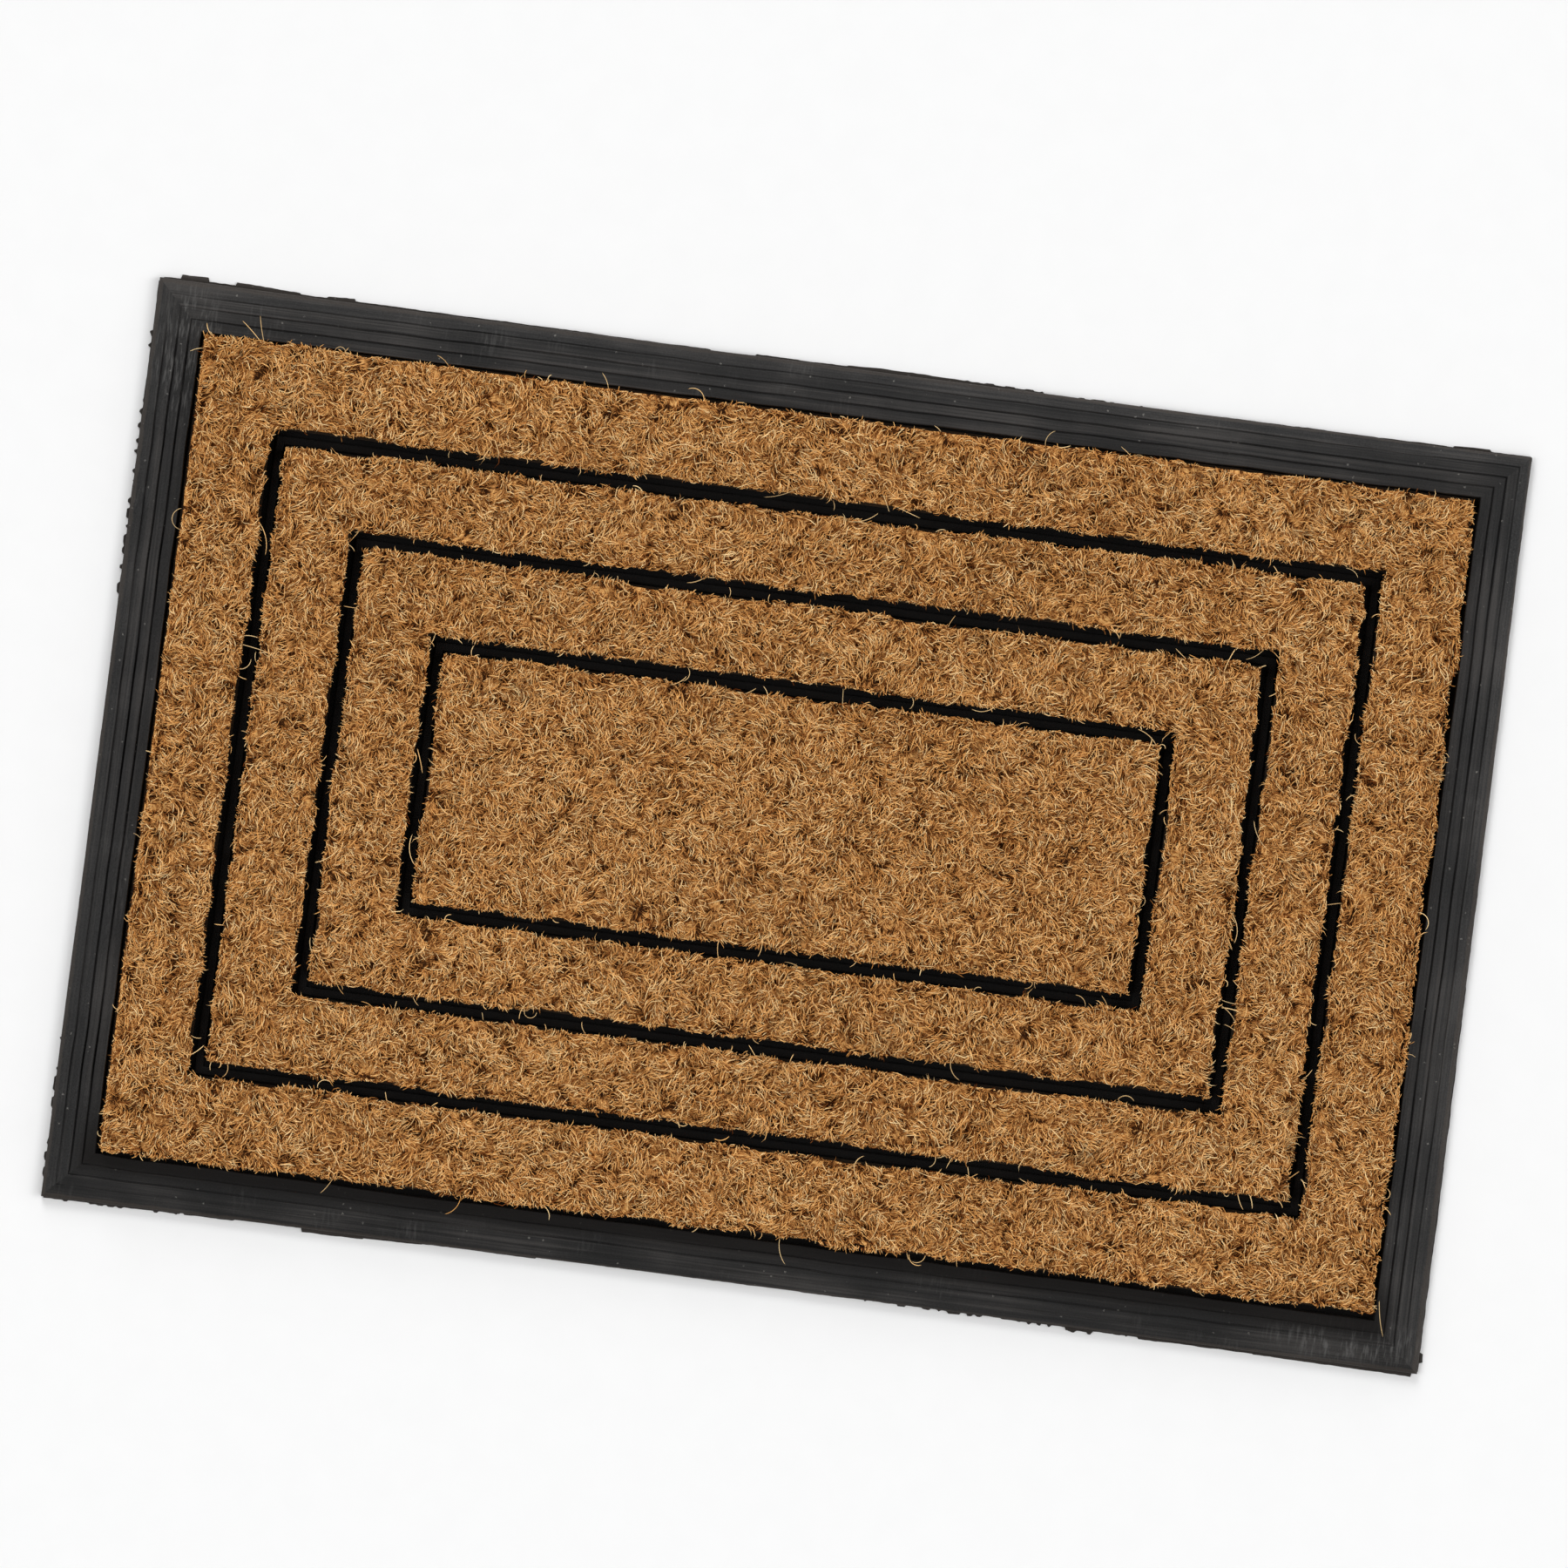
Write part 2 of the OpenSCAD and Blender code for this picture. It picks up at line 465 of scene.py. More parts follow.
def coir_material():
    """Coir fibre: each fibre has its own tint, from straw to dark brown, and some have gone grey. The tint
    also holds painted shade on the roots and by the cut faces, and painted light on the fibres on top.
    """
    n = new_material("coir_pile")
    place = n.place()
    flecks = n.noise(place, 700.0, 2.0)
    tint = n.math("ADD", n.attribute("tint"), n.span(flecks, 0.3, 0.7, -0.06, 0.06))
    colour = n.ramp(tint, [(0.0, (0.16, 0.042, 0.006)), (0.35, (0.64, 0.291, 0.078)),
                           (0.6, (0.86, 0.477, 0.163)), (1.0, (0.95, 0.690, 0.350))])
    colour = n.blend(n.attribute("ash"), colour, (0.17, 0.112, 0.058))
    n.relief(flecks, 0.00004)
    return n.surface(colour, n.span(flecks, 0.3, 0.7, 0.5, 0.7), 0.07)


def core_material():
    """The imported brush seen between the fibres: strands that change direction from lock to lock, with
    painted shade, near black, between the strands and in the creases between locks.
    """
    n = new_material("coir_core")
    place = n.place()
    warped = n.warp(place, 330.0, 0.0016)
    distance, luck, middle = n.cells(warped, 190.0)
    local = n.vector_math("SUBTRACT", warped, middle)
    strands = n.noise(n.stretch(n.turn(local, luck), (1, 0.16, 0.3)), 2300.0, 2.0)
    lumps = n.noise(place, 260.0, 2.0)
    # Painted shade: darker towards the edges of each lock's cell, in the creases between locks.
    crease_shade = n.span(distance, 0.35, 0.75, 0.0, -0.22)
    tone = n.math("ADD", n.math("ADD", strands, crease_shade), n.span(lumps, 0.3, 0.7, -0.06, 0.06))
    # The darkest stop is painted shade between the strands.
    colour = n.ramp(tone, [(0.30, (0.035, 0.012, 0.004)), (0.40, (0.33, 0.125, 0.030)),
                           (0.50, (0.70, 0.34, 0.105)), (0.68, (0.90, 0.53, 0.19))])
    n.relief(strands, 0.0007)
    return n.surface(colour, n.span(lumps, 0.3, 0.7, 0.7, 0.9), 0.05)


def shade_dark_cloth_material():
    """Woven backing, painted near black as the shade it lies in at the foot of the channels."""
    n = new_material("coir_backing")
    place = n.place()
    yarn = n.noise(n.stretch(place, (260, 1400, 300)), 1.0, 3.0)
    colour = n.ramp(yarn, [(0.3, (0.012, 0.008, 0.005)), (0.7, (0.040, 0.026, 0.015))])
    n.relief(yarn, 0.0004)
    return n.surface(colour, n.span(yarn, 0.3, 0.7, 0.75, 0.95), 0.2)


def floor_material():
    """Plain pale matte floor."""
    n = new_material("studio_floor")
    grain = n.noise(n.place(), 60.0, 2.0)
    colour = n.ramp(grain, [(0.3, (0.895, 0.895, 0.895)), (0.7, (0.905, 0.905, 0.905))])
    return n.surface(colour, n.span(grain, 0.3, 0.7, 0.85, 0.95), 0.1)


# ---- rubber tray

def border_height(inset):
    """Height of the border's lands at a distance inset from the outer edge."""
    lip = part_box("rubber_tray")[1].z / MM
    if inset <= LAND_W:
        return EDGE_H + (lip - EDGE_H) * FIRST_LAND_SHARE * inset / LAND_W
    share = FIRST_LAND_SHARE + (1 - FIRST_LAND_SHARE) * (inset - LAND_W) / (BORDER_W - LAND_W)
    return EDGE_H + (lip - EDGE_H) * share


def border_profile():
    """The tray's section from the underside's rim to the pocket's floor, as rows of inset, height and how
    far the groove drops below that height."""
    rows = [(0.3, 0.0, 0), (0.0, 0.35, 0), (0.0, EDGE_H - 0.45, 0), (0.2, EDGE_H - 0.05, 0),
            (0.7, border_height(0.7), 0)]
    half = GROOVE_W / 2
    for i in range(1, LANDS):
        middle = i * LAND_W
        depth = GROOVE_D * (FIRST_GROOVE_SHARE if i == 1 else 1.0)
        for offset, drop in [(-1.6, 0.0), (-half - 0.35, -LIP_RISE), (-half - 0.08, -LIP_RISE * 0.5),
                             (-half + 0.06, 0.25 * depth), (-half + 0.18, 0.9 * depth), (0.0, depth),
                             (half - 0.18, 0.9 * depth), (half - 0.06, 0.25 * depth),
                             (half + 0.1, 0.02), (half + 0.5, 0.0)]:
            rows.append((middle + offset, border_height(middle + offset), drop))
    lip = border_height(BORDER_W)
    rows += [(BORDER_W - 1.3, border_height(BORDER_W - 1.3), 0), (BORDER_W - 0.35, lip - 0.02, 0),
             (BORDER_W - 0.08, lip - 0.2, 0), (BORDER_W, lip - 0.55, 0), (BORDER_W, BASE_T + 0.4, 0),
             (BORDER_W + 0.3, BASE_T, 0)]
    return rows


def rectangle_loop(half_x, half_y):
    """Points round a rectangle, anticlockwise from its front left corner, as many for every size."""
    u = np.linspace(-1, 1, LONG_STEPS + 1)[:-1]
    v = np.linspace(-1, 1, SHORT_STEPS + 1)[:-1]
    x = np.concatenate([u, np.ones_like(v), -u, -np.ones_like(v)])
    y = np.concatenate([-np.ones_like(u), v, np.ones_like(u), -v])
    return np.stack([x * half_x, y * half_y], axis=1)


def side_share(x, y):
    """How deep the grooves are moulded on the side of the tray that a point belongs to."""
    on_end = TRAY_HALF[0] - abs(x) < TRAY_HALF[1] - abs(y)
    ends = np.where(x < 0, GROOVE_SHARE["left"], GROOVE_SHARE["right"])
    sides = np.where(y < 0, GROOVE_SHARE["front"], GROOVE_SHARE["back"])
    return np.where(on_end, ends, sides)


def corner_wear(x, y):
    """How much of the grooves is left near the corners, where the rubber is scuffed smooth."""
    off_x = TRAY_HALF[0] - abs(x)
    off_y = TRAY_HALF[1] - abs(y)
    distance = np.hypot(off_x - WORN_INSET, off_y - WORN_INSET)
    depth = np.where((x < 0) & (y > 0), 0.75, 0.3)
    return 1 - depth * np.exp(-(distance / WORN_REACH) ** 2)


def outline_swell(x, y):
    """How far the moulding's outline stands out beyond the CAD tray's along X and along Y. The rubber has
    shrunk unevenly, so its right side is askew and its front is hollow."""
    across = np.where(x > 0, 1.15 - 0.0045 * y, 1.1)
    along = np.where(y > 0, 0.85 - 0.0020 * x, 1.2 * ((x - 20) / 300) ** 2)
    return np.column_stack([across, along])


def tray_rows():
    """Half x, half y, height and groove drop of each loop of the tray, from the underside to the middle."""
    half_x, half_y = TRAY_HALF
    rows = [(half_x * 0.5, half_y * 0.5, 0.0, 0), (half_x - 12, half_y - 12, 0.0, 0)]
    rows += [(half_x - inset, half_y - inset, height, drop) for inset, height, drop in border_profile()]
    inner_half = [(-offset, height) for offset, height in reversed(RIB_SECTION)]
    for around, inside in zip(INSERTS, INSERTS[1:]):
        middle = (half_sizes(around + "_pile")[1] + half_sizes(inside + "_pile")[0]) / 2
        for offset, height in RIB_SECTION + [(0.0, RIB_H + 0.04)] + inner_half:
            rows.append((*(middle + offset), height, 0))
    rows.append((*(middle * 0.5), BASE_T, 0))
    return rows


def loft(loops, count):
    """Faces through a number of loops of count points each: quads between them, and a face at each end."""
    low = np.arange(loops - 1)[:, None] * count
    start = np.arange(count)
    following = (start + 1) % count
    quads = np.stack([low + start, low + following, low + count + following, low + count + start], axis=-1)
    return [quads.reshape(-1, 4), np.stack([start[::-1], (loops - 1) * count + start])]


def rubber_tray(material):
    """The tray as one closed moulding, lofted through rectangular loops."""
    rng = np.random.default_rng(11)
    sway = value_noise(rng, 45.0)
    ripple = value_noise(rng, 9.0)
    worn = value_noise(rng, 24.0)
    wander = value_noise(rng, 17.0)
    loops = []
    for half_x, half_y, height, drop in tray_rows():
        loop = rectangle_loop(half_x, half_y)
        x, y = loop.T
        z = np.full(len(loop), float(height))
        z -= drop * side_share(x, y) * (0.85 + 0.35 * worn(x, y)) * corner_wear(x, y)
        if height > 0.5:
            z += 0.05 * ripple(x, y)
        inset = TRAY_HALF[0] - half_x
        if height > 0.1 and inset < BORDER_W + 1:
            outward = 0.2 * sway(x, y) + 0.06 * ripple(x, y) + 0.3 * wander(x, y) * min(inset / 4, 1)
            swell = outline_swell(x, y) * max(0.0, 1 - inset / 4)
            loop = loop + (outward[:, None] + swell) * loop / np.array([half_x, half_y])
        loops.append(np.column_stack([loop, z]))
    faces = loft(len(loops), len(loops[0]))
    return mesh_object("tray_moulding", np.concatenate(loops), faces, material, 14)


def flash_width(side, along, rng):
    """How far the flash stands out from the tray's edge at places along one side."""
    ripple = value_noise(rng, 7.0)
    tooth = value_noise(rng, 2.2)
    width = np.zeros_like(along)
    for low, high, first, last in FLASH[side]:
        here = (along >= low) & (along <= high)
        width = np.where(here, first + (last - first) * (along - low) / (high - low), width)
    width += 0.16 * ripple(along, 0) + 0.1 * tooth(along, 40)
    for where, low, high, length in TORN:
        if where == side:
            torn = np.clip(3.5 * tooth(along, 0) - 0.7, 0, 1) * (along > low) * (along < high)
            width += length * torn
    return np.maximum(width, 0.1)


def flash(side, material):
    """A thin strip of rubber along the foot of one side, with the ragged edge it was torn off at."""
    rng = np.random.default_rng(21 + list(FLASH).index(side))
    reach, edge = TRAY_HALF if side in ("back", "front") else reversed(TRAY_HALF)
    along = np.arange(-reach - 0.6, reach + 0.61, FLASH_STEP)
    direction = -1 if side in ("back", "left") else 1
    width = flash_width(side, direction * along, rng)
    thick = FLASH_TOP * np.clip(0.75 + 0.3 * value_noise(rng, 11.0)(along, 0), 0.3, 1.0)
    section = [(edge - 1.2, 0.0), (edge + width - 0.1, 0.0), (edge + width, 0.45 * thick),
               (edge + width - 0.12, 0.9 * thick), (edge + 0.1, thick), (edge - 1.2, thick)]
    away, height = (np.stack(np.broadcast_arrays(*column), axis=1) for column in zip(*section))
    line = direction * np.broadcast_to(along[:, None], away.shape)
    places = {"back": (line, away), "front": (line, -away), "left": (-away, line), "right": (away, line)}
    vertices = np.stack([*places[side], height], axis=-1).reshape(-1, 3)
    return mesh_object(f"flash_{side}", vertices, loft(len(along), len(section)), material, 40)


# ---- inserts: slabs

def grid_lines(outer, hole, solid, cell):
    """Even grid lines across a band, with lines exactly on its edges and on its hole's edges."""
    stops = [-outer, outer] if solid else [-outer, -hole, hole, outer]
    lines = [stops[0]]
    for low, high in zip(stops, stops[1:]):
        steps = max(1, round((high - low) / cell))
        lines += list(np.linspace(low, high, steps + 1)[1:])
    return np.array(lines)


def slab(name, node, low, top, wobble, cell, margin, material):
    """A closed slab over a CAD band, margin inside its faces, cut into a grid of cells. top and wobble give
    the height of its upper side and how far its points are moved, at arrays of x and y."""
    outer, hole = half_sizes(node)
    solid = not has_hole(outer, hole)
    outer = outer - margin
    hole = hole + margin
    xs = grid_lines(outer[0], hole[0], solid, cell)
    ys = grid_lines(outer[1], hole[1], solid, cell)
    x, y = np.meshgrid(xs, ys, indexing="ij")
    mid_x = (xs[:-1] + xs[1:]) / 2
    mid_y = (ys[:-1] + ys[1:]) / 2
    kept = solid | (abs(mid_x)[:, None] > hole[0]) | (abs(mid_y)[None, :] > hole[1])
    shift_x, shift_y = wobble(x, y)
    flat = np.stack([x + shift_x, y + shift_y], axis=-1).reshape(-1, 2)
    count = len(flat)
    index = np.arange(count).reshape(len(xs), len(ys))
    corners = np.stack([index[:-1, :-1], index[1:, :-1], index[1:, 1:], index[:-1, 1:]], axis=-1)
    level = corners[kept]
    padded = np.zeros((len(mid_x) + 2, len(mid_y) + 2), bool)
    padded[1:-1, 1:-1] = kept
    walls = []
    for (di, dj), (a, b) in {(0, -1): (0, 1), (1, 0): (1, 2), (0, 1): (2, 3), (-1, 0): (3, 0)}.items():
        open_side = kept & ~padded[1 + di:1 + di + len(mid_x), 1 + dj:1 + dj + len(mid_y)]
        edge = corners[open_side]
        walls.append(np.column_stack([edge[:, a], edge[:, b], edge[:, b] + count, edge[:, a] + count]))
    vertices = np.concatenate([np.column_stack([flat, np.full(count, float(low))]),
                               np.column_stack([flat, top(flat[:, 0], flat[:, 1])])])
    faces = np.concatenate([level + count, level[:, ::-1]] + walls)
    used = np.unique(faces)
    renumber = np.zeros(len(vertices), int)
    renumber[used] = np.arange(len(used))
    return mesh_object(name, vertices[used], [renumber[faces]], material, 50)


def backing(name, material):
    """The woven cloth under an insert's pile, with a raised yarn at every second crossing."""
    def top(x, y):
        return CLOTH_TOP - 0.25 + 0.2 * np.cos(math.pi * x / YARN) * np.cos(math.pi * y / YARN)

    def wobble(*_):
        return INNER_SHIFT

    return slab(name + "_cloth", name + "_backing", BASE_T, top, wobble, YARN, 0.3, material)


def core(name, material, field):
    """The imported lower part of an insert's pile."""
    def top(x, y):
        return CORE_TOP + 0.55 * field(x, y)

    def wobble(x, y):
        return INNER_SHIFT[0] + 0.3 * field(x + 40, y), INNER_SHIFT[1] + 0.3 * field(x, y + 40)

    low = CLOTH_TOP - 0.5
    return slab(name + "_core", name + "_pile", low, top, wobble, CORE_CELL, CORE_MARGIN, material)


# ---- inserts: fibres

def tubes(paths, radii, roll):
    """Closed three-sided tubes along paths (fibre, point, xyz), pointed at both ends. Every point between
    the ends has a radius."""
    fibres, points, _ = paths.shape
    along = unit(np.gradient(paths, axis=1))
    flat = along.copy()
    flat[..., 2] = 0
    still = np.linalg.norm(flat, axis=-1) < 1e-3
    heading = unit(paths[:, -1] - paths[:, 0]) * np.array([1, 1, 0])
    flat[still] = np.broadcast_to(heading[:, None], flat.shape)[still] + np.array([1e-6, 0, 0])
    side = unit(np.cross(UP, unit(flat)))
    above = unit(np.cross(along, side))
    rings = []
    for k in range(3):
        angle = roll + 2 * math.pi * k / 3
        turn = np.cos(angle)[:, None, None] * side[:, 1:-1] + np.sin(angle)[:, None, None] * above[:, 1:-1]
        rings.append(paths[:, 1:-1] + turn * radii[..., None])
    body = np.stack(rings, axis=2).reshape(fibres, -1, 3)
    vertices = np.concatenate([paths[:, :1], body, paths[:, -1:]], axis=1)
    per_fibre = vertices.shape[1]
    quads = []
    for ring in range(points - 3):
        low = 1 + 3 * ring
        high = low + 3
        quads += [[low + k, low + (k + 1) % 3, high + (k + 1) % 3, high + k] for k in range(3)]
    last = per_fibre - 4
    triangles = [[last + k, last + (k + 1) % 3, per_fibre - 1] for k in range(3)]
    triangles += [[1 + (k + 1) % 3, 1 + k, 0] for k in range(3)]
    base = (np.arange(fibres) * per_fibre)[:, None, None]
    quads = (base + np.array(quads)[None]).reshape(-1, 4)
    triangles = (base + np.array(triangles)[None]).reshape(-1, 3)
    return vertices.reshape(-1, 3), [quads, triangles], per_fibre


class Sheet:
    """The tufted sheet that all four inserts were cut from: where its locks of fibre stand and lean."""

    def __init__(self):
        rng = np.random.default_rng(5)
        rows = np.arange(-HALF_ROWS, HALF_ROWS)
        tufts = np.arange(-HALF_TUFTS, HALF_TUFTS + 1)
        grid_x, grid_y = np.meshgrid(rows, tufts, indexing="ij")
        shape = grid_x.shape
        swirl = value_noise(rng, 13.0)
        patch = value_noise(rng, 40.0)
        self.rng = rng
        self.lump = value_noise(rng, 5.0)
        self.wander = value_noise(rng, 17.0)
        self.x = (grid_x + 0.5) * ROW_PITCH / 2 + rng.normal(0, 0.9, shape)
        self.y = (grid_y + 0.5 * (grid_x % 2)) * TUFT_PITCH + rng.normal(0, 1.3, shape)
        self.heading = math.pi * (swirl(self.x, self.y) + 0.6 * patch(self.x, self.y))
        self.heading += rng.normal(0, 0.8, shape)
        self.reach = rng.uniform(4.2, 7.4, shape)
        self.curl = rng.normal(0, 1.0, shape)
        self.fan = rng.normal(0, 0.09, shape)
        self.wave = rng.uniform(0, 2 * math.pi, shape)
        self.top = PILE_TOP + 0.42 * rng.normal(0, 1, shape)
        row_tint = np.repeat(rng.normal(0, 0.022, len(rows) // 2), 2)[:, None]
        self.tint = row_tint + rng.normal(0, 0.03, shape) + 0.03 * patch(self.x + 100, self.y)
        self.ash = np.clip(rng.normal(-0.75, 0.5, shape), 0, 0.6)

    def bulge(self, x, y):
        """How far a cut face near that place bulges out, or is eaten away where it is negative."""
        spill = np.exp(-((x - SPILL[0]) ** 2 + (y - SPILL[1]) ** 2) / SPILL_REACH ** 2)
        return self.lump(x, y) + 1.1 * self.wander(x, y) + SPILL_LENGTH * spill


class Outline:
    """The rectangle of an insert's brush, or the band between two rectangles. It is a little smaller than
    the CAD pile, and the fibres that lean out make up for that."""

    def __init__(self, node):
        outer, hole = half_sizes(node)
        by_border = node.startswith(INSERTS[0])
        self.outer = outer - (BORDER_SETBACK if by_border else CHANNEL_SETBACK)
        self.shift = np.array(OUTER_SHIFT if by_border else INNER_SHIFT)
        self.hole = hole + CHANNEL_SETBACK if has_hole(outer, hole) else None

    def depth(self, x, y):
        """How far inside the nearest cut face a point is, and the direction out through that face."""
        gaps = []
        for half, place in zip(self.outer, [x - self.shift[0], y - self.shift[1]]):
            gaps += [half - place, half + place]
        gaps = np.stack(gaps)
        away = np.array([[1, 0], [-1, 0], [0, 1], [0, -1]], float)[gaps.argmin(0)]
        depth = gaps.min(0)
        if self.hole is not None:
            x = x - INNER_SHIFT[0]
            y = y - INNER_SHIFT[1]
            over_x = abs(x) - self.hole[0]
            over_y = abs(y) - self.hole[1]
            from_hole = np.maximum(over_x, over_y)
            across = np.where(over_x > over_y, -np.sign(x), 0)
            along = np.where(over_x > over_y, 0, -np.sign(y))
            nearer = from_hole < depth
            away = np.where(nearer[:, None], np.column_stack([across, along]), away)
            depth = np.where(nearer, from_hole, depth)
        return depth, away

    def walk(self, rng, per_mm):
        """Random points just inside the cut faces, that many to each millimetre of their length."""
        points = []
        faces = [(self.outer, self.shift, -1)]
        if self.hole is not None:
            faces.append((self.hole, np.array(INNER_SHIFT), 1))
        for half, shift, sign in faces:
            for axis in (0, 1):
                for side in (-1, 1):
                    count = int(2 * half[1 - axis] * per_mm)
                    place = np.empty((count, 2))
                    place[:, axis] = side * (half[axis] + sign * rng.uniform(0.15, 1.4, count))
                    place[:, 1 - axis] = rng.uniform(-1, 1, count) * half[1 - axis]
                    points.append(place + shift)
        return np.concatenate(points)


def nearest_lock(sheet, x, y):
    """The lock whose place in the grid is nearest to each point."""
    column = np.floor(x / (ROW_PITCH / 2)).astype(int)
    row = np.round(y / TUFT_PITCH - 0.5 * (column % 2)).astype(int)
    column = np.clip(column + HALF_ROWS, 0, sheet.x.shape[0] - 1)
    row = np.clip(row + HALF_TUFTS, 0, sheet.x.shape[1] - 1)
    return column * sheet.x.shape[1] + row


def turned_outward(heading, depth, away):
    """Headings, with those beside a cut face turned so that none leans back into the pile."""
    aim = np.column_stack([np.cos(heading), np.sin(heading)])
    inward = np.minimum((aim * away).sum(1), 0) * np.clip(2.6 - depth, 0, 1)
    aim = aim - 2 * inward[:, None] * away
    return np.arctan2(aim[:, 1], aim[:, 0])


class Brush:
    """The single fibres of one insert. Each leans the way its lock does, arches over and droops."""

    def __init__(self, sheet, node):
        self.sheet = sheet
        self.rng = sheet.rng
        self.outline = Outline(node)
        self.plant()
        self.lean()
        self.shorten()

    def of_lock(self, values):
        """For each fibre, the value that belongs to its lock."""
        return values.reshape(-1)[self.lock]

    def chance(self, share):
        """True for that share of the fibres, picked at random."""
        return self.rng.uniform(0, 1, self.count) < share

    def plant(self):
        """Roots scattered round the middle of each lock, and more of them along the cut faces."""
        lock = np.repeat(np.arange(self.sheet.x.size), FIBRES_PER_LOCK)
        offset = self.rng.normal(0, LOCK_SPREAD, (len(lock), 2))
        root = np.column_stack([self.sheet.x.reshape(-1)[lock], self.sheet.y.reshape(-1)[lock]]) + offset
        rim = self.outline.walk(self.rng, EDGE_FIBRES_PER_MM)
        lock = np.concatenate([lock, nearest_lock(self.sheet, *rim.T)])
        root = np.concatenate([root, rim])
        depth, away = self.outline.depth(*root.T)
        bulge = self.sheet.bulge(*root.T)
        kept = depth > 0.15 + np.clip(-bulge, 0, 1.5)
        self.lock, self.root = lock[kept], root[kept]
        self.depth, self.away, self.bulge = depth[kept], away[kept], bulge[kept]
        self.near_face = np.exp(-np.maximum(self.depth, 0) / 1.8)
        self.count = len(self.root)

    def lean(self):
        """Which way each fibre leans, and how far that turns between root and tip."""
        middle = np.column_stack([self.of_lock(self.sheet.x), self.of_lock(self.sheet.y)])
        heading = self.of_lock(self.sheet.heading)
        across = np.column_stack([-np.sin(heading), np.cos(heading)])
        heading = heading + self.of_lock(self.sheet.fan) * ((self.root - middle) * across).sum(1)
        scatter = self.rng.normal(0, 0.24, self.count)
        scatter += np.where(self.chance(WILD), self.rng.normal(0, 1, self.count), 0)
        self.heading = turned_outward(heading + scatter, self.depth, self.away)
        self.curl = self.of_lock(self.sheet.curl) + self.rng.normal(0, 0.4, self.count)

    def shorten(self):
        """How far each fibre reaches sideways. One that would hang far out over its insert's cut face
        stands up straighter instead."""
        self.on_top = self.chance(ON_TOP)
        reach = self.of_lock(self.sheet.reach) * self.rng.uniform(0.45, 1.15, self.count)
        reach *= np.where(self.on_top, 1.3, 0.95)
        upright = (self.depth < 1.6) & self.chance(UPRIGHT)
        reach *= np.where(upright, self.rng.uniform(0.1, 0.6, self.count), 1.0)
        stray = self.rng.exponential(FUZZ, self.count)
        stray += np.where(self.chance(STICKING_OUT), self.rng.uniform(0, 2, self.count), 0)
        allowed = OVERHANG + 1.2 * self.bulge + np.minimum(stray, 3.0)
        aim = self.heading + 0.5 * self.curl
        for _ in range(3):
            tip_x = self.root[:, 0] + reach * np.cos(aim)
            tip_y = self.root[:, 1] + reach * np.sin(aim)
            over = -self.outline.depth(tip_x, tip_y)[0] - allowed
            reach = np.where(over > 0, np.maximum(reach - over, 0.4), reach)
        self.reach = reach

    def heights(self, shares):
        """Heights of the points of each fibre."""
        tip = self.of_lock(self.sheet.top) + self.rng.normal(0, 0.35, self.count)
        tip = tip + 0.45 * self.sheet.lump(*self.root.T) + 0.3 * self.on_top
        tip -= 0.9 * self.near_face * self.rng.uniform(0.0, 1.0, self.count)
        start = np.where(self.depth < 1.4, CLOTH_TOP + 0.1, CORE_TOP - 0.8)
        rise = np.sin(np.minimum(shares * 1.3, 1.0) * math.pi / 2)
        droop = self.rng.uniform(0.0, 1.3, self.count)[:, None] * np.clip((shares - 0.6) / 0.4, 0, 1) ** 2
        droop = droop * np.clip(self.reach / 4, 0, 1)[:, None]
        return start[:, None] + (tip - start)[:, None] * rise - droop

    def paths(self):
        """The points of each fibre, from root to tip."""
        shares = np.array(FIBRE_SHARES)[None, :]
        height = self.heights(shares)
        travel = self.reach[:, None] * shares ** 1.25
        bearing = self.heading[:, None] + self.curl[:, None] * (shares - 0.2)
        phase = self.of_lock(self.sheet.wave) + self.rng.normal(0, 0.9, self.count)
        sway = self.rng.uniform(0.05, 0.35, self.count) * np.clip(self.reach / 5, 0, 1)
        sway = sway[:, None] * np.sin(phase[:, None] + 3.6 * shares) * shares
        x = self.root[:, :1] + travel * np.cos(bearing) - sway * np.sin(bearing)
        y = self.root[:, 1:] + travel * np.sin(bearing) + sway * np.cos(bearing)
        return np.stack([x, y, height], axis=-1)

    def radii(self):
        """Radii of the points of each fibre between its ends."""
        radius = self.rng.uniform(*FIBRE_RADIUS, self.count) * np.where(self.on_top, 1.18, 1.0)
        return radius[:, None] * np.array(FIBRE_TAPER)[None, :]

    def colours(self):
        """How pale each fibre is, and how grey. One in five is dark brown and some are straw. Those by a
        cut face are painted darker as shade on the pile's rounded edge, and those on top paler as painted
        light.
        """
        tint = 0.47 + self.of_lock(self.sheet.tint) + self.rng.normal(0, 0.2, self.count)
        # Painted light: the fibres that lie on top are paler, as the light falls on them most.
        tint += 0.13 * self.on_top
        kind = self.rng.choice([-0.45, 0.0, 0.3], self.count, p=[0.2, 0.67, 0.13])
        # Painted shade: fibres near a cut face are darker, as the pile's edge falls into shade.
        tint += kind - 0.12 * self.near_face
        greyed = np.where(self.chance(GREYED), 0.5, 0.0)
        return tint, np.clip(self.of_lock(self.sheet.ash) * 0.5 + greyed, 0, 0.8)


